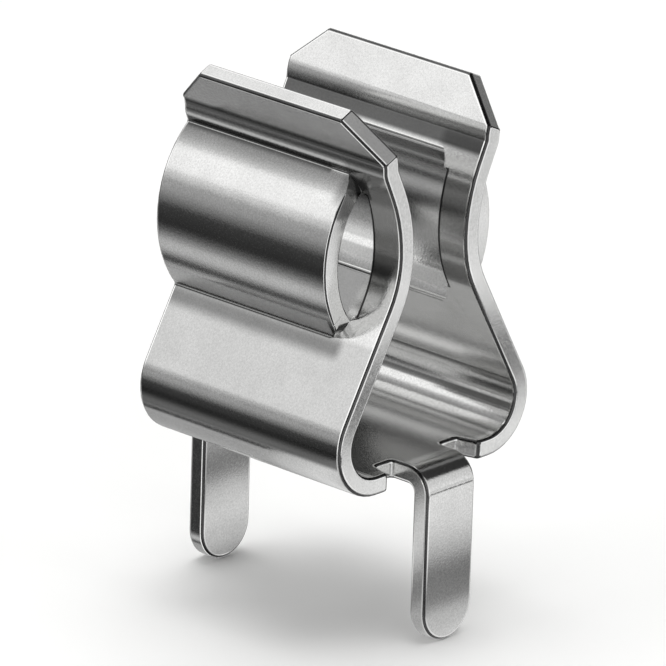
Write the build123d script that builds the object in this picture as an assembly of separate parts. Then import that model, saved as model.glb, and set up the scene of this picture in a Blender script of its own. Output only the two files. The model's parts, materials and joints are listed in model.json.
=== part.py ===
from build123d import *
from math import acos, atan2, cos, degrees, radians, sin, sqrt
import os

# A fuse clip for a circuit board, folded from one strip of spring sheet, for a 5 x 20 mm cartridge fuse.
# X runs across the two arms, Y along the fuse and Z up. The origin is on the underside of the base, where
# the board is, midway between the arms and midway between the two solder legs. The end-stop bands are at
# the -Y end. Sizes are in millimetres and angles in degrees.

# Sheet, and the bend between the base and the two walls
sheet = 0.5
clip_width = 6.92
base_bend = 0.9

# Seat for the fuse's cap, pressed outwards from both arms, with a sharp crease above and below it
seat_radius = 2.5
seat_height = 5.77
seat_corner = 0.65
seat_margin = 0.03
crease_hollow = 0.08
crease_ridge = 0.15

# Neck, where an arm curves in and out again; its radii are those of the arm's outer side
neck_gap = 1.84
neck_rise = 0.28
neck_lower = 2.6
neck_upper = 3.7

# Flared lip, set in by a soft step above its foot, with its corners cut off at 45 degrees
lip_lean = 25.0
foot_length = 0.615
lip_step = 0.11
lip_length = 1.02
lip_corner_front = 1.12
lip_corner_rear = 0.94

# Band left standing in front of the seat, which stops the cap's end, and the slit behind it
stop_width = 0.98
slit_width = 0.1

# Solder legs, folded down from the middle of the base at both ends, and how far the body ends inside them
leg_pitch = 7.62
leg_width = 1.75
leg_length = 4.15
leg_bend = 0.2
body_setback = 0.38

# Relief notches on both sides of each leg's root
notch_depth = 0.6
notch_floor = 0.6
notch_mouth = 0.775
notch_corner = 0.1


def polar(length, angle):
    """The point at this distance and angle from the origin of a section."""
    return Vector(length * cos(radians(angle)), length * sin(radians(angle)))


# The neck's lower and upper curve meet where the arms are closest, a little above the fuse's axis
base_outer = base_bend + sheet
base_centre = Vector(clip_width / 2 - base_outer, base_outer)
neck_point = Vector(neck_gap / 2 + sheet, seat_height + neck_rise)
lower_centre = neck_point + Vector(neck_lower, 0)
upper_centre = neck_point + Vector(neck_upper, 0)

# The wall is the line that touches the base's bend on one side and the neck's lower curve on the other
run = lower_centre - base_centre
wall_lean = degrees(atan2(run.Y, run.X) - acos((base_outer + neck_lower) / run.length))
wall_foot = base_centre + polar(base_outer, wall_lean)
base_line = Line((0, 0), (base_centre.X, 0))
base_arc = CenterArc(base_centre, base_outer, -90, 90 + wall_lean)

# The step in the lip is two equal bends, and the sheet stands upright where they meet
step_bend = lip_step / (2 - 2 * cos(radians(lip_lean)))
foot_start = upper_centre + polar(neck_upper, 180 - lip_lean)
foot_end = foot_start + polar(foot_length, 90 - lip_lean)
inner_centre = foot_end + polar(step_bend, 180 - lip_lean)
outer_centre = inner_centre + Vector(2 * step_bend, 0)
lip_start = outer_centre + polar(step_bend, 180 - lip_lean)
lip_top = lip_start + polar(lip_length, 90 - lip_lean)
lip = [
    CenterArc(inner_centre, step_bend, -lip_lean, lip_lean),
    CenterArc(outer_centre, step_bend, 180, -lip_lean),
    Line(lip_start, lip_top),
]


def folded(outer, side=Side.LEFT):
    """Section of the sheet that has this outer line, with its thickness on the given side of the line."""
    return make_face(offset(Wire(outer), sheet, side=side).edges())


# Half of the clip's section where the arm has its neck
lower_arc = CenterArc(lower_centre, neck_lower, 180 + wall_lean, -wall_lean)
upper_arc = CenterArc(upper_centre, neck_upper, 180, -lip_lean)
wall = Line(wall_foot, lower_arc @ 0)
neck_section = folded([base_line, base_arc, wall, lower_arc, upper_arc, Line(foot_start, foot_end), *lip])

# Half of the section where the seat, which is round about the fuse's axis, takes the neck's place
seat_axis = Vector(0, seat_height)


def seat_side(radius, bend):
    """One side of the sheet at the seat: an arc of this radius between the bends of its creases."""
    depth = sheet + seat_radius - radius
    reach = radius + bend
    across_low = (wall_foot - seat_axis).dot(polar(1, wall_lean)) - depth + bend
    across_high = (foot_start - seat_axis).dot(polar(1, -lip_lean)) - depth + bend
    low = wall_lean - degrees(acos(across_low / reach))
    high = degrees(acos(across_high / reach)) - lip_lean
    return [
        CenterArc(seat_axis + polar(reach, low), bend, 180 + wall_lean, low - wall_lean),
        CenterArc(seat_axis, radius, low, high - low),
        CenterArc(seat_axis + polar(reach, high), bend, 180 + high, -lip_lean - high),
    ]


hollow = seat_side(seat_radius + sheet, crease_hollow)
ridge = seat_side(seat_radius, crease_ridge)
low_end = Line(ridge[0] @ 0, hollow[0] @ 0)
high_end = Line(ridge[-1] @ 1, hollow[-1] @ 1)
wall_part = folded([base_line, base_arc, Line(wall_foot, low_end @ 0 + polar(sheet, wall_lean))])
lip_part = folded([Line(high_end @ 0 + polar(sheet, -lip_lean), foot_end), *lip])
seat_section = wall_part + make_face([*hollow, high_end, *ridge, low_end]) + lip_part


def along_y(section, start, length):
    """This section as a solid that starts at the given Y."""
    return extrude(Plane.XZ.offset(-start - length) * section, length)


# Seen from the side the seat fills this outline, from just under its lower crease to the top of the lip's
# foot. It is rounded at the front corners, where the slit runs out.
body_end = leg_pitch / 2 - body_setback
slit_start = stop_width - body_end
seat_start = slit_start + slit_width
seat_low = (hollow[0] @ 0).Y - seat_margin
seat_high = foot_end.Y
outline = Polyline(
    (body_end, seat_low),
    (seat_start, seat_low),
    (seat_start, seat_high),
    (body_end, seat_high),
    close=True,
)
outline = make_face(outline)
outline = fillet(outline.vertices().group_by(Axis.X)[0], seat_corner)
seat_block = extrude(Plane.YZ * outline, clip_width)
slit = Rectangle(2 * slit_width, seat_high - seat_low - 2 * seat_corner)
slit_block = extrude(Plane.YZ * Pos(seat_start, (seat_high + seat_low) / 2) * slit, clip_width)
arm = along_y(neck_section, -body_end, 2 * body_end) - seat_block - slit_block
arm += along_y(seat_section, -body_end, 2 * body_end) & seat_block

# A square on its corner, in the plane of the lip, cuts each end of the lip's top edge
lip_out = Vector(cos(radians(lip_lean)), 0, -sin(radians(lip_lean)))
lip_plane = Plane(origin=(lip_top.X, 0, lip_top.Y), x_dir=(0, 1, 0), z_dir=lip_out)
for place, size in ((-body_end, lip_corner_front), (body_end, lip_corner_rear)):
    corner = Rectangle(size * sqrt(2), size * sqrt(2), rotation=45)
    arm -= extrude(lip_plane * Pos(place, 0) * corner, 2 * sheet, both=True)

# A window at each end of the base takes out the notches and leaves the root of the leg between them
leg_face = (leg_pitch + sheet) / 2
leg_start = leg_face - sheet - leg_bend
notch_back = body_end - notch_depth
root_half = leg_width / 2
window_line = Polyline(
    (0, leg_start),
    (root_half, leg_start),
    (root_half, notch_back),
    (root_half + notch_floor, notch_back),
    (root_half + notch_mouth, body_end),
    (root_half + notch_mouth, leg_face),
    (0, leg_face),
    close=True,
)
window = make_face(window_line)
window = fillet(window.vertices().group_by(Axis.Y)[0], notch_corner)
rear_window = extrude(window, sheet)
arm -= rear_window + mirror(rear_window, Plane.XZ)

# Each leg turns down from its root and ends in a half-round tip
leg_arc = CenterArc((leg_start, -leg_bend), leg_bend + sheet, 90, -90)
leg_section = folded([leg_arc, Line(leg_arc @ 1, (leg_face, -leg_length))], Side.RIGHT)
tip_centre = -leg_length + root_half
leg_front = Circle(root_half).moved(Pos(0, tip_centre))
leg_front += Rectangle(leg_width, sheet - tip_centre, align=(Align.CENTER, Align.MIN)).moved(Pos(0, tip_centre))
leg = extrude(Plane.YZ * leg_section, root_half, both=True) & along_y(leg_front, leg_start, leg_face - leg_start)

clip = arm + mirror(arm, Plane.YZ) + leg + mirror(leg, Plane.XZ)

os.makedirs("parts", exist_ok=True)
export_step(clip, "parts/fuse_clip.step")
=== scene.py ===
import json
import math
import bmesh
import bpy
from mathutils import Matrix, Vector
from mathutils.bvhtree import BVHTree

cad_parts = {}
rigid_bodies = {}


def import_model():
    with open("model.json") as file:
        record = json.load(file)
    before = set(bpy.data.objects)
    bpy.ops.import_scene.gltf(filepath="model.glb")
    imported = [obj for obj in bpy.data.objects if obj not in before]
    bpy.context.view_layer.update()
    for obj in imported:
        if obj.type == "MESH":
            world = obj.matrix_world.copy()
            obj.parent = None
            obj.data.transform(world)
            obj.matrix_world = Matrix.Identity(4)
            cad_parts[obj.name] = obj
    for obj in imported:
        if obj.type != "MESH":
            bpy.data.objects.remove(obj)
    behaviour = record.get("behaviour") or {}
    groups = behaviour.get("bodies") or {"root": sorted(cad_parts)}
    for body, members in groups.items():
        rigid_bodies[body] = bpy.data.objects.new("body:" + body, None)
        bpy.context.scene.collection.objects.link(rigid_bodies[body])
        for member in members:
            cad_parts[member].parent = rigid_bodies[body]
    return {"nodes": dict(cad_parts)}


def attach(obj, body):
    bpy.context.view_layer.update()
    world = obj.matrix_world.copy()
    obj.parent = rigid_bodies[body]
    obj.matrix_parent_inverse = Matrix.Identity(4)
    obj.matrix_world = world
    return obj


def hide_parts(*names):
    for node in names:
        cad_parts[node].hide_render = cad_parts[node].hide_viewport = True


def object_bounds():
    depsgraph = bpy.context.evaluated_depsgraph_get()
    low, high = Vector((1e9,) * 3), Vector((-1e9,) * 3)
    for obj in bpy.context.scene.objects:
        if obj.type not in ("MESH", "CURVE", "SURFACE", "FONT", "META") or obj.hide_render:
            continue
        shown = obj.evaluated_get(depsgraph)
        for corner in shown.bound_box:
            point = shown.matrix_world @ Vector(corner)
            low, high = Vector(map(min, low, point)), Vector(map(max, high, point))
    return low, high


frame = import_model()
mm = 0.001
cadLow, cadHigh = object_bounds()
scene = bpy.context.scene
print("frame loaded, CAD box", tuple(cadLow), tuple(cadHigh))


# helpers

def srgb(hexColour):
    # "#rrggbb" as the linear colour that the shaders want
    parts = [int(hexColour[i:i + 2], 16) / 255 for i in (1, 3, 5)]
    return tuple(c / 12.92 if c <= 0.04045 else ((c + 0.055) / 1.055) ** 2.4 for c in parts) + (1.0,)


def addNode(tree, kind, place, settings=None, inputs=None, links=None):
    # one node: its properties, its socket values, and what feeds it
    node = tree.nodes.new(kind)
    node.location = place
    for key, value in (settings or {}).items():
        setattr(node, key, value)
    for key, value in (inputs or {}).items():
        node.inputs[key].default_value = value
    for key, source in (links or {}).items():
        tree.links.new(source, node.inputs[key])
    return node


def deselectAll():
    for item in bpy.context.view_layer.objects.selected[:]:
        item.select_set(False)


def makeActive(piece):
    deselectAll()
    piece.select_set(True)
    bpy.context.view_layer.objects.active = piece


def newMaterial(name):
    material = bpy.data.materials.new(name)
    material.use_nodes = True
    material.node_tree.nodes.clear()
    return material, material.node_tree


# finishes of the clip, in the order of its material slots

finishes = {
    # the speck is how far single grains are darker or brighter than the rest, and the painted shade and added
    # roughness come from the lists used below
    "nickelPlatedSpringBrass": {
        # bright plate over cold-rolled brass: wide soft reflections under a fine even grain
        "bright": "#e2e2e1", "dull": "#dadad9", "speck": (0.85, 1.09), "roughness": (0.09, 0.14), "bump": 0.35,
        "paintedShadeAndWear": ("slit", "sheet"),
    },
    "nickelPlatedShearedEdge": {
        # the punched edge under its plate: a little duller, with a rougher grain
        "bright": "#e6e6e5", "dull": "#dcdcdb", "speck": (0.88, 1.07), "roughness": (0.13, 0.19), "bump": 0.2,
        "paintedShadeAndWear": ("slit", "corner"),
    },
    "paintedHighlightNickelEdge": {
        # the rim of a rolled punched edge, painted brighter than the plate as a highlight
        "bright": "#fafaf9", "dull": "#f2f2f1", "speck": (0.95, 1.02), "roughness": (0.12, 0.18), "bump": 0.1,
        "paintedShadeAndWear": ("slit", "corner"),
    },
    "paintedShadeNickelEdge": {
        # the middle of a rolled edge, painted dark as the shade along the edge
        "bright": "#606060", "dull": "#484848", "speck": (0.90, 1.05), "roughness": (0.20, 0.30), "bump": 0.2,
        "paintedShadeAndWear": ("slit", "corner"),
    },
}
sheetSlot, cutSlot, rimSlot, edgeShadeSlot = range(len(finishes))

grain = {
    "fine": {"size": 0.05, "detail": 2.0, "roughness": 0.7},    # mm, finer in truth, and this coarse to show
    "slow": {"size": 0.9, "detail": 3.0, "roughness": 0.5},     # mm, slow changes in the rolled skin
    "spread": (0.3, 0.7),                                       # what a noise keeps to
    "bumpHeight": 0.004,                                        # mm
}

paintedShadeAndWear = {
    # places darkened with painted shade, some with roughness added as well, the same on both arms: a box in mm
    # over |X|, Y and Z, the width of the soft border round it, the share of the colour that is left there, and
    # the roughness added
    "slit": [
        ((0.00, 3.50), (-2.54, -2.44), (4.40, 7.55), 0.02, 0.10, 0.10),     # band's rear edge
        ((1.50, 1.92), (-2.60, -1.75), (7.45, 8.10), 0.07, 0.35, 0.05),     # slit's upper end
    ],
    "corner": [
        ((1.70, 2.60), (-2.44, -1.60), (7.10, 8.00), 0.15, 0.40, 0.05),     # seat's upper front corner
    ],
    "sheet": [
        ((1.92, 2.50), (-3.60, 3.60), (8.56, 8.64), 0.14, 0.19, 0.08),      # lip's step, outside
        ((1.40, 1.72), (-3.60, 3.60), (8.50, 8.60), 0.12, 0.85, 0.08),      # and inside
        ((1.40, 1.70), (-3.60, 3.60), (8.12, 8.36), 0.16, 0.16, 0.08),      # lip's foot, inside
        ((1.75, 3.50), (-1.50, 3.60), (8.02, 8.12), 0.12, 0.25, 0.05),      # upper crease
        ((1.80, 3.50), (-2.10, 3.60), (3.98, 4.35), 0.10, 0.95, 0.35),      # lower crease
        ((1.80, 3.10), (-2.20, 3.60), (3.58, 3.66), 0.33, 0.42, 0.05),      # wall under it
        ((1.80, 3.40), (-3.60, 3.60), (1.95, 3.80), 0.15, 0.74, 0.00),      # wall
        ((3.10, 3.60), (-3.60, 3.60), (1.05, 1.30), 0.16, 0.28, 0.03),      # base's bend, outside
        ((2.40, 3.05), (-3.60, 3.60), (1.85, 2.00), 0.25, 0.35, 0.03),      # and inside, above
        ((2.40, 3.05), (-3.60, 3.60), (1.05, 1.13), 0.06, 0.35, 0.03),      # and below
        ((0.00, 2.30), (-3.10, 3.10), (0.45, 0.60), 0.15, 0.62, 0.03),      # base's top
        ((0.00, 2.52), (-2.30, 3.60), (4.60, 6.95), 0.08, 0.72, 0.04),      # seat's inside
        ((0.00, 1.85), (-2.30, 3.60), (7.10, 7.70), 0.10, 0.55, 0.04),      # and near its upper crease
        ((0.90, 1.25), (-3.60, -2.40), (4.70, 7.30), 0.10, 0.55, 0.04),     # band's inside
        ((1.38, 1.90), (-3.60, -2.40), (5.62, 5.92), 0.30, 0.30, 0.03),     # band's outside
        ((1.45, 2.40), (-3.60, -2.20), (7.50, 8.25), 0.30, 0.60, 0.03),     # band's top
    ],
}


def shadeAndWearShares(tree, point, places):
    # the share of colour left under the painted shade and the roughness added at a point, over all these places
    inMm = addNode(tree, "ShaderNodeVectorMath", (-2600, -600), {"operation": "SCALE"}, {"Scale": 1 / mm},
                   {"Vector": point})
    parts = addNode(tree, "ShaderNodeSeparateXYZ", (-2400, -600), links={"Vector": inMm.outputs["Vector"]})
    aside = addNode(tree, "ShaderNodeMath", (-2200, -500), {"operation": "ABSOLUTE"}, {},
                    {0: parts.outputs["X"]})
    folded = addNode(tree, "ShaderNodeCombineXYZ", (-2000, -600), links={
        "X": aside.outputs["Value"], "Y": parts.outputs["Y"], "Z": parts.outputs["Z"]})
    tone = rough = None
    for number, (*spans, border, colourLeftByShade, roughnessAdded) in enumerate(places):
        row = -700 - 300 * number
        middle = tuple((low + high) / 2 for low, high in spans)
        half = tuple((high - low) / 2 for low, high in spans)
        off = addNode(tree, "ShaderNodeVectorMath", (-1800, row), {"operation": "SUBTRACT"}, {1: middle},
                      {0: folded.outputs["Vector"]})
        far = addNode(tree, "ShaderNodeVectorMath", (-1600, row), {"operation": "ABSOLUTE"}, {},
                      {0: off.outputs["Vector"]})
        past = addNode(tree, "ShaderNodeVectorMath", (-1400, row), {"operation": "SUBTRACT"}, {1: half},
                       {0: far.outputs["Vector"]})
        out = addNode(tree, "ShaderNodeVectorMath", (-1200, row), {"operation": "MAXIMUM"}, {1: (0, 0, 0)},
                      {0: past.outputs["Vector"]})
        gap = addNode(tree, "ShaderNodeVectorMath", (-1000, row), {"operation": "LENGTH"}, {},
                      {0: out.outputs["Vector"]})
        share = addNode(tree, "ShaderNodeMapRange", (-800, row), {"interpolation_type": "SMOOTHSTEP"},
                        {"From Min": 0.0, "From Max": border, "To Min": 1.0, "To Max": 0.0},
                        {"Value": gap.outputs["Value"]}).outputs["Result"]
        # painted shade: the colour kept falls to this share inside the box
        darker = addNode(tree, "ShaderNodeMath", (-600, row), {"operation": "MULTIPLY_ADD"},
                         {1: colourLeftByShade - 1, 2: 1.0}, {0: share}).outputs["Value"]
        rougher = addNode(tree, "ShaderNodeMath", (-600, row - 150), {"operation": "MULTIPLY_ADD"},
                          {1: roughnessAdded, 2: 0.0}, {0: share})
        if tone:
            darker = addNode(tree, "ShaderNodeMath", (-400, row), {"operation": "MULTIPLY"}, {},
                             {0: tone, 1: darker}).outputs["Value"]
            tree.links.new(rough, rougher.inputs[2])
        tone, rough = darker, rougher.outputs["Value"]
    return tone, rough


def plated(name):
    # nickel plate in one of the finishes: grain, slow mottle and painted shade in its colour, grain and the
    # places' added roughness in its roughness, and grain in its bump
    look = finishes[name]
    material, tree = newMaterial(name)
    point = addNode(tree, "ShaderNodeTexCoord", (-2800, 0)).outputs["Object"]
    noises = {}
    for number, kind in enumerate(("fine", "slow")):
        noise = grain[kind]
        noises[kind] = addNode(
            tree, "ShaderNodeTexNoise", (-1200, 400 - 300 * number), {},
            {"Scale": 1 / (noise["size"] * mm), "Detail": noise["detail"], "Roughness": noise["roughness"]},
            {"Vector": point}).outputs["Fac"]
    # each noise is drawn out over the range that each part of the finish wants
    uses = {"mix": ("slow", (0, 1)), "speck": ("fine", look["speck"]), "roughness": ("fine", look["roughness"])}
    lowest, highest = grain["spread"]
    drawn = {}
    for number, (use, (kind, (low, high))) in enumerate(uses.items()):
        drawn[use] = addNode(tree, "ShaderNodeMapRange", (-900, 600 - 250 * number), {},
                             {"From Min": lowest, "From Max": highest, "To Min": low, "To Max": high},
                             {"Value": noises[kind]}).outputs["Result"]
    # painted shade and added roughness from the places listed for this finish
    tone, rough = shadeAndWearShares(tree, point, [place for group in look["paintedShadeAndWear"] for place in paintedShadeAndWear[group]])
    skin = addNode(tree, "ShaderNodeMix", (-500, 500), {"data_type": "RGBA"},
                   {"A": srgb(look["bright"]), "B": srgb(look["dull"])}, {"Factor": drawn["mix"]})
    shade = addNode(tree, "ShaderNodeMath", (-500, 250), {"operation": "MULTIPLY"}, {},
                    {0: drawn["speck"], 1: tone})
    colour = addNode(tree, "ShaderNodeMix", (-250, 400), {"data_type": "RGBA", "blend_type": "MULTIPLY"},
                     {"Factor": 1.0}, {"A": skin.outputs["Result"], "B": shade.outputs["Value"]})
    sheen = addNode(tree, "ShaderNodeMath", (-250, 100), {"operation": "ADD"}, {},
                    {0: drawn["roughness"], 1: rough})
    bump = addNode(tree, "ShaderNodeBump", (-250, -100), {},
                   {"Strength": look["bump"], "Distance": grain["bumpHeight"] * mm}, {"Height": noises["fine"]})
    metal = addNode(tree, "ShaderNodeBsdfPrincipled", (0, 200), {}, {"Metallic": 1.0}, {
        "Base Color": colour.outputs["Result"], "Roughness": sheen.outputs["Value"],
        "Normal": bump.outputs["Normal"]})
    addNode(tree, "ShaderNodeOutputMaterial", (300, 200), links={"Surface": metal.outputs["BSDF"]})
    return material


# the clip itself: the CAD node's own faces, merged, its cut edges rolled, and dressed

clip = {
    "sheet": 0.5,                  # mm
    "sheetSlack": 0.06,            # mm
    "skinDepth": 0.01,             # mm under a face, where a ray through the sheet starts
    "towardsCorner": 0.9,          # such rays start at a face's middle and this far out to its corners
    "broadShare": 0.25,            # more of the rays than this find the sheet's thickness behind a broad face
    "mergeDistance": 0.0005,       # mm
    "flatAngle": 0.4,              # degrees
    "edgeRoll": 0.10,              # mm, the edge that tumbling leaves on a stamped part
    "edgeSteps": 4,
    "sharpAngle": 40,              # degrees, every cut edge is over this and every fold's facet under it
    "obtuseAngle": 60,
    "obtuseRoll": 0.3,             # share of the roll that the lips' cut-off corners get
    "slitAt": (-2.45, -2.35),      # mm in Y
    "slitSlack": 0.02,             # mm
    "slitRoll": 0.6,               # most that an edge beside the slit gets of the roll
    "rollStart": 0.6,              # how far inside the slit's ends the roll begins, in seat corners
    "seatReach": (3.75, 8.17),     # mm in Z
    "seatSlack": 0.1,              # mm
    "seatCorner": 0.65,            # mm
    "slitEndY": (-2.50, -2.05),    # mm, where the slit runs out into the seat's rounded corners
    "slitEndDepth": (-0.1, 0.7),   # mm inside the seat's reach
    "smoothAngle": 32,             # degrees
    "bends": [
        # middle of each bend in X and Z, and the two radii of its sheet, mm
        (2.06, 1.40, 0.9, 1.4),
        (4.02, 6.05, 2.6, 3.1),
        (5.12, 6.05, 3.7, 4.2),
        (0.00, 5.77, 2.5, 3.0),
    ],
    "bendSlack": 0.012,            # mm, how far a facet may lie inside the true bend
    "bendTurn": 14,                # degrees, and how far its normal may be turned from the bend's
}


def rollOf(edge):
    # how much of the full roll an edge gets: none on a fold, and less where the slit runs out
    turn = math.degrees(edge.calc_face_angle(0))
    if turn < clip["sharpAngle"]:
        return 0
    if turn < clip["obtuseAngle"]:
        return clip["obtuseRoll"]
    middle = (edge.verts[0].co + edge.verts[1].co) / 2
    near, far = clip["slitAt"]
    depth = min(middle.z - clip["seatReach"][0], clip["seatReach"][1] - middle.z)
    besideSlit = near - clip["slitSlack"] < middle.y < far + clip["seatCorner"]
    if not besideSlit or depth <= -clip["seatSlack"]:
        return 1
    return min(clip["slitRoll"], max(0, depth / clip["seatCorner"] - clip["rollStart"]))


def isBroad(face, tree):
    # a broad face has the sheet's thickness behind many of its spots, and a cut face has more behind it
    middle = face.calc_center_median()
    spots = [middle] + [middle.lerp(corner.co, clip["towardsCorner"]) for corner in face.verts]
    skin = clip["skinDepth"]
    hits = [tree.ray_cast(spot - face.normal * skin, -face.normal) for spot in spots]
    thin = [hit for hit in hits if hit[0] and abs(hit[3] + skin - clip["sheet"]) < clip["sheetSlack"]]
    return len(thin) > len(spots) * clip["broadShare"]


def atSlitEnd(place):
    low, high = clip["seatReach"]
    depth = min(place.z - low, high - place.z)
    spans = ((place.y, clip["slitEndY"]), (depth, clip["slitEndDepth"]))
    return all(least < value < most for value, (least, most) in spans)


def markRims(mesh):
    # a rolled edge has a painted highlight at its two rims and a painted dark line of shade between them
    shape = bmesh.new()
    shape.from_mesh(mesh)
    inner = [face for face in shape.faces if face.material_index == rimSlot
             and not atSlitEnd(face.calc_center_median())
             and all(other.material_index == rimSlot for edge in face.edges for other in edge.link_faces)]
    # the middle strips of the roll get the painted dark line
    for face in inner:
        face.material_index = edgeShadeSlot
    shape.to_mesh(mesh)
    shape.free()


def bendNormal(place, facing):
    # the true normal where a facet's corner lies on one of the bends, on either arm
    side = -1 if place.x < 0 else 1
    for x, z, inner, outer in clip["bends"]:
        spoke = Vector((place.x - side * x, 0, place.z - z))
        if min(abs(spoke.length - inner), abs(spoke.length - outer)) < clip["bendSlack"]:
            spoke.normalize()
            if abs(spoke.dot(facing)) > math.cos(math.radians(clip["bendTurn"])):
                return spoke if spoke.dot(facing) > 0 else -spoke
    return None


def cornersOf(faces):
    # which of these faces meet at each corner
    meeting = {}
    for face in faces:
        for corner in face.vertices:
            meeting.setdefault(corner, []).append(face)
    return meeting


def meanNormal(faces):
    # a large face counts for more than a small one
    total = Vector()
    for face in faces:
        total += face.normal * face.area
    return total.normalized()


def blended(place, faces, facing):
    # the bend's own normal, or else that of the faces here which face nearly the same way
    found = bendNormal(place, facing)
    if found:
        return found
    limit = math.cos(math.radians(clip["smoothAngle"]))
    return meanNormal(face for face in faces if face.normal.dot(facing) > limit)


def trueNormals(mesh):
    # big faces keep the normals of the real bends, and the rolled edges take theirs from the faces beside them
    rolled = (rimSlot, edgeShadeSlot)
    mainFaces = cornersOf(face for face in mesh.polygons if face.material_index not in rolled)
    edgeFaces = cornersOf(face for face in mesh.polygons if face.material_index in rolled)
    normals = []
    for face in mesh.polygons:
        for corner in face.vertices:
            place = mesh.vertices[corner].co
            if face.material_index not in rolled:
                normals.append(blended(place, mainFaces[corner], face.normal))
            elif corner in mainFaces:
                nearest = max(mainFaces[corner], key=lambda other: other.normal.dot(face.normal))
                normals.append(blended(place, mainFaces[corner], nearest.normal))
            else:
                normals.append(meanNormal(edgeFaces[corner]))
    mesh.polygons.foreach_set("use_smooth", [True] * len(mesh.polygons))
    mesh.normals_split_custom_set(normals)


def mergeFaces(piece):
    # the CAD node's loose triangles as whole faces, told apart, with the edges weighed for their roll
    bpy.ops.object.mode_set(mode="EDIT")
    bpy.ops.mesh.select_all(action="SELECT")
    bpy.ops.mesh.customdata_custom_splitnormals_clear()
    bpy.ops.mesh.remove_doubles(threshold=clip["mergeDistance"])
    bpy.ops.mesh.dissolve_limited(angle_limit=math.radians(clip["flatAngle"]))
    shape = bmesh.from_edit_mesh(piece.data)
    tree = BVHTree.FromBMesh(shape)
    for face in shape.faces:
        face.material_index = sheetSlot if isBroad(face, tree) else cutSlot
    weights = shape.edges.layers.float
    weight = weights.get("bevel_weight_edge") or weights.new("bevel_weight_edge")
    for edge in shape.edges:
        edge[weight] = rollOf(edge)
    bmesh.update_edit_mesh(piece.data)
    bpy.ops.object.mode_set(mode="OBJECT")


def rollEdges(piece):
    roll = piece.modifiers.new("edgeRoll", "BEVEL")
    roll.width = clip["edgeRoll"]
    roll.segments = clip["edgeSteps"]
    roll.limit_method = "WEIGHT"
    roll.miter_outer = "MITER_ARC"
    roll.use_clamp_overlap = False
    roll.loop_slide = False
    # the rolled faces take the finish with the painted highlight
    roll.material = rimSlot
    bpy.ops.object.modifier_apply(modifier=roll.name)


def modelClip():
    node = frame["nodes"]["fuse_clip"]
    piece = bpy.data.objects.new("springClip", node.data.copy())
    scene.collection.objects.link(piece)
    makeActive(piece)
    piece.scale = (1 / mm,) * 3                     # worked on in millimetres
    bpy.ops.object.transform_apply(location=False, rotation=False, scale=True)
    piece.data.materials.clear()
    for name in finishes:
        piece.data.materials.append(plated(name))
    mergeFaces(piece)
    rollEdges(piece)
    markRims(piece.data)
    trueNormals(piece.data)
    piece.scale = (mm,) * 3
    bpy.ops.object.transform_apply(location=False, rotation=False, scale=True)
    return piece


springClip = modelClip()
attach(springClip, "root")
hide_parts("fuse_clip")
print("clip dressed,", len(springClip.data.polygons), "faces")


# floor

floor = {
    "size": 2.0,               # m
    "paper": "#f6f6f5",
    "roughness": 0.9,
    "gloss": 0.1,
}


def makeFloor():
    deselectAll()
    bpy.ops.mesh.primitive_plane_add(size=floor["size"], location=(0, 0, cadLow.z))
    plane = bpy.context.object
    plane.name = "paperFloor"
    # matte white paper: no gloss, only the clip's soft shadow
    material, tree = newMaterial("mattePaper")
    paper = addNode(tree, "ShaderNodeBsdfPrincipled", (0, 0), inputs={
        "Base Color": srgb(floor["paper"]), "Roughness": floor["roughness"],
        "Specular IOR Level": floor["gloss"]})
    addNode(tree, "ShaderNodeOutputMaterial", (300, 0), links={"Surface": paper.outputs["BSDF"]})
    plane.data.materials.append(material)
    plane.visible_glossy = False                    # the metal shows the tent all round, as in the photograph


makeFloor()
print("floor laid")


# light: a round tent of graded panels that runs along Y, a card in front, and a soft box over the clip

lightTent = {
    "rearPanels": [
        # angle round the Y axis from +X, and how bright the tent is there, behind the clip
        (0, 0.85), (60, 1.05), (98, 1.00), (107, 0.36), (112, 0.32), (120, 0.45), (127, 0.66), (134, 1.22),
        (155, 1.18), (159, 0.80), (164, 0.70), (166, 0.44), (175, 0.40), (182, 0.25), (187, 0.17), (191, 0.05),
        (210, 0.03), (216, 0.11), (222, 0.29), (229, 0.57), (236, 0.59), (241, 0.38), (247, 0.06), (251, 0.06),
        (256, 0.46), (268, 0.43), (322, 0.46), (331, 0.08), (341, 0.08), (350, 0.60),
    ],
    "frontPanels": [
        # the same in front of the clip
        (30, 0.80), (60, 0.40), (100, 0.40), (125, 1.10), (160, 1.10), (180, 0.50), (200, 0.30), (240, 0.50),
        (300, 0.60), (330, 1.00), (350, 1.00),
    ],
    "handover": (-0.3, 0.3),   # from front panels to rear ones, by how far along Y a direction points
    "seam": [
        # sideways: how far along Y a direction points, how bright the tent is there, and how much of it is seam
        (-0.56, 0.04, 0), (-0.48, 0.04, 1), (-0.10, 0.04, 1), (-0.01, 0.20, 1), (0.08, 0.20, 1),
        (0.18, 1.25, 1), (0.40, 1.25, 1), (0.52, 1.25, 0),
    ],
}


def bandsOf(tree, place, stops, along):
    # a ramp with these stops: position from 0 to 1, brightness, share
    node = addNode(tree, "ShaderNodeValToRGB", place, links={"Fac": along})
    ramp = node.color_ramp
    ramp.interpolation = "EASE"
    for number, (position, bright, share) in enumerate(stops):
        # a new ramp has two stops of its own
        stop = ramp.elements[number] if number < 2 else ramp.elements.new(position)
        stop.position = position
        stop.color = (bright, bright, bright, share)
    return node.outputs


def roundStops(stops):
    # a radial gradient counts from 180 degrees and joins up there
    turned = sorted(((degrees - 180) % 360 / 360, bright, 1) for degrees, bright in stops)
    joint = (turned[0][1] + turned[-1][1]) / 2
    return [(0.0, joint, 1), *(stop for stop in turned if stop[0] > 0), (1.0, joint, 1)]


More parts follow.
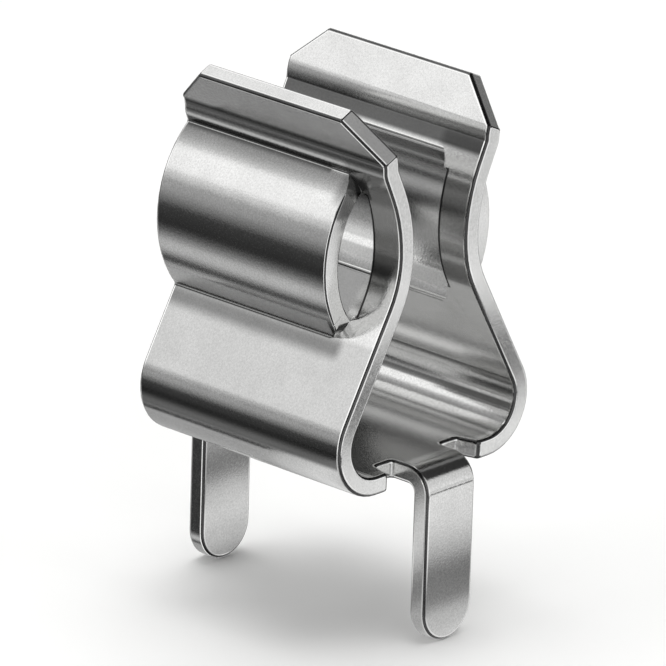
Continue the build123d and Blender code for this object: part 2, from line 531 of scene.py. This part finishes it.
def makeTent():
    # the camera sees white instead, and all else sees the tent
    world = bpy.data.worlds.new("lightTent")
    scene.world = world
    world.use_nodes = True
    tree = world.node_tree
    tree.nodes.clear()
    coords = addNode(tree, "ShaderNodeTexCoord", (-1400, 0))
    # a radial gradient goes round Z, and this turn takes it round Y
    upright = addNode(tree, "ShaderNodeMapping", (-1200, 200), {"vector_type": "POINT"},
                      {"Rotation": (math.radians(-90), 0, 0)}, {"Vector": coords.outputs["Generated"]})
    angle = addNode(tree, "ShaderNodeTexGradient", (-1000, 200), {"gradient_type": "RADIAL"},
                    links={"Vector": upright.outputs["Vector"]})
    parts = addNode(tree, "ShaderNodeSeparateXYZ", (-1200, -200), links={"Vector": coords.outputs["Generated"]})
    frontEnd, rearEnd = lightTent["handover"]
    rearShare = addNode(tree, "ShaderNodeMapRange", (-1000, -200), {"interpolation_type": "SMOOTHSTEP"},
                        {"From Min": frontEnd, "From Max": rearEnd}, {"Value": parts.outputs["Y"]})
    rear = bandsOf(tree, (-700, 300), roundStops(lightTent["rearPanels"]), angle.outputs["Fac"])
    front = bandsOf(tree, (-700, 0), roundStops(lightTent["frontPanels"]), angle.outputs["Fac"])
    halves = addNode(tree, "ShaderNodeMix", (-500, 100), {"data_type": "RGBA"}, {}, {
        "Factor": rearShare.outputs["Result"], "A": front["Color"], "B": rear["Color"]})
    sideways = addNode(tree, "ShaderNodeMapRange", (-1000, -450), {}, {"From Min": -1.0, "From Max": 1.0},
                       {"Value": parts.outputs["Y"]})
    seamStops = [((along + 1) / 2, bright, share) for along, bright, share in lightTent["seam"]]
    seam = bandsOf(tree, (-700, -300), seamStops, sideways.outputs["Result"])
    tent = addNode(tree, "ShaderNodeMix", (-300, 100), {"data_type": "RGBA"}, {}, {
        "Factor": seam["Alpha"], "A": halves.outputs["Result"], "B": seam["Color"]})
    tentLight = addNode(tree, "ShaderNodeBackground", (-100, 100), links={"Color": tent.outputs["Result"]})
    white = addNode(tree, "ShaderNodeBackground", (-100, -100), inputs={"Color": (1, 1, 1, 1)})
    path = addNode(tree, "ShaderNodeLightPath", (-100, 400))
    seen = addNode(tree, "ShaderNodeMixShader", (150, 0), links={
        0: path.outputs["Is Camera Ray"], 1: tentLight.outputs["Background"], 2: white.outputs["Background"]})
    addNode(tree, "ShaderNodeOutputWorld", (350, 0), links={"Surface": seen.outputs["Shader"]})


makeTent()


frontCard = {
    "bands": [
        # the card lies in front and under the clip: distance from the origin, mm, and how bright it is there
        (-3.4, 0.44), (-2.5, 0.66), (-1.3, 0.82), (-0.2, 0.70), (0.9, 0.24), (1.6, 0.24), (2.4, 0.46),
        (3.4, 0.46), (4.2, 0.78), (5.1, 0.66), (6.1, 0.27), (7.3, 0.22), (8.6, 0.66), (9.8, 0.92), (12.7, 1.05),
        (14.0, 0.50), (14.8, 0.12), (16.9, 0.10), (18.2, 0.50), (20.4, 1.45), (22.2, 0.84), (24.2, 0.66),
        (27.0, 0.80), (60.0, 0.80),
    ],
    "width": 160.0,            # mm
    "lift": 0.02,              # mm over the floor
}


def makeCard():
    # only the metal sees it, and it lays grey bands across the clip's front faces
    deselectAll()
    near, far = frontCard["bands"][0][0], frontCard["bands"][-1][0]
    middle = (0, -(near + far) / 2 * mm, cadLow.z + frontCard["lift"] * mm)
    bpy.ops.mesh.primitive_plane_add(size=mm, location=middle)
    card = bpy.context.object
    card.name = "frontCard"
    card.scale = (frontCard["width"], far - near, 1)
    bpy.ops.object.transform_apply(location=True, rotation=False, scale=True)
    material, tree = newMaterial("greyBandedCard")
    point = addNode(tree, "ShaderNodeTexCoord", (-900, 0))
    parts = addNode(tree, "ShaderNodeSeparateXYZ", (-700, 0), links={"Vector": point.outputs["Object"]})
    along = addNode(tree, "ShaderNodeMapRange", (-500, 0), {}, {"From Min": -near * mm, "From Max": -far * mm},
                    {"Value": parts.outputs["Y"]})
    stops = [((place - near) / (far - near), bright, 1) for place, bright in frontCard["bands"]]
    bands = bandsOf(tree, (-300, 0), stops, along.outputs["Result"])
    glow = addNode(tree, "ShaderNodeEmission", (0, 0), links={"Color": bands["Color"]})
    addNode(tree, "ShaderNodeOutputMaterial", (200, 0), links={"Surface": glow.outputs["Emission"]})
    card.data.materials.append(material)
    card.visible_camera = card.visible_diffuse = card.visible_shadow = card.visible_transmission = False


makeCard()


overheadBox = {
    "towards": (0.05, -0.05, 1.0),
    "distance": 0.6,           # m
    "size": 0.45,              # m
    "radiance": 3.5,
}


def makeSoftBox():
    # an area light of this size gives this radiance when its power is radiance x area x pi
    size = overheadBox["size"]
    data = bpy.data.lights.new("overheadBox", "AREA")
    data.shape = "RECTANGLE"
    data.size, data.size_y = size, size
    data.energy = overheadBox["radiance"] * size * size * math.pi
    lamp = bpy.data.objects.new("overheadBox", data)
    scene.collection.objects.link(lamp)
    direction = Vector(overheadBox["towards"]).normalized()
    lamp.location = direction * overheadBox["distance"]
    lamp.rotation_mode = "QUATERNION"
    lamp.rotation_quaternion = direction.to_track_quat("Z", "Y")
    lamp.visible_glossy = False                     # it lights the paper, and the metal shows the tent there


makeSoftBox()
print("studio lit")


# camera at the photograph's angle

shot = {
    "azimuth": 47.39,          # degrees round from the front, towards -X
    "elevation": 19.82,
    "roll": 1.70,
    "distance": 250.0,         # mm
    "aimRight": 0.019,         # mm from the origin, in the picture's own directions
    "aimUp": 2.685,
    "lens": 540.5,             # mm
    "sensor": 36,
    "clipRange": (0.01, 10),   # m
}


def placeCamera():
    turn, rise, roll = (math.radians(shot[key]) for key in ("azimuth", "elevation", "roll"))
    back = Vector((-math.sin(turn) * math.cos(rise), -math.cos(turn) * math.cos(rise), math.sin(rise)))
    level = Vector((math.cos(turn), -math.sin(turn), 0))
    upright = back.cross(level)
    right = math.cos(roll) * level + math.sin(roll) * upright
    up = math.cos(roll) * upright - math.sin(roll) * level
    data = bpy.data.cameras.new("shot")
    data.lens = shot["lens"]
    data.sensor_width = shot["sensor"]
    data.clip_start, data.clip_end = shot["clipRange"]
    camera = bpy.data.objects.new("shot", data)
    scene.collection.objects.link(camera)
    aim = right * shot["aimRight"] * mm + up * shot["aimUp"] * mm
    place = aim + back * shot["distance"] * mm
    turned = Matrix((right, up, back)).transposed().to_4x4()
    camera.matrix_world = Matrix.Translation(place) @ turned
    scene.camera = camera


placeCamera()
scene.view_settings.view_transform = "Standard"
print("camera placed")
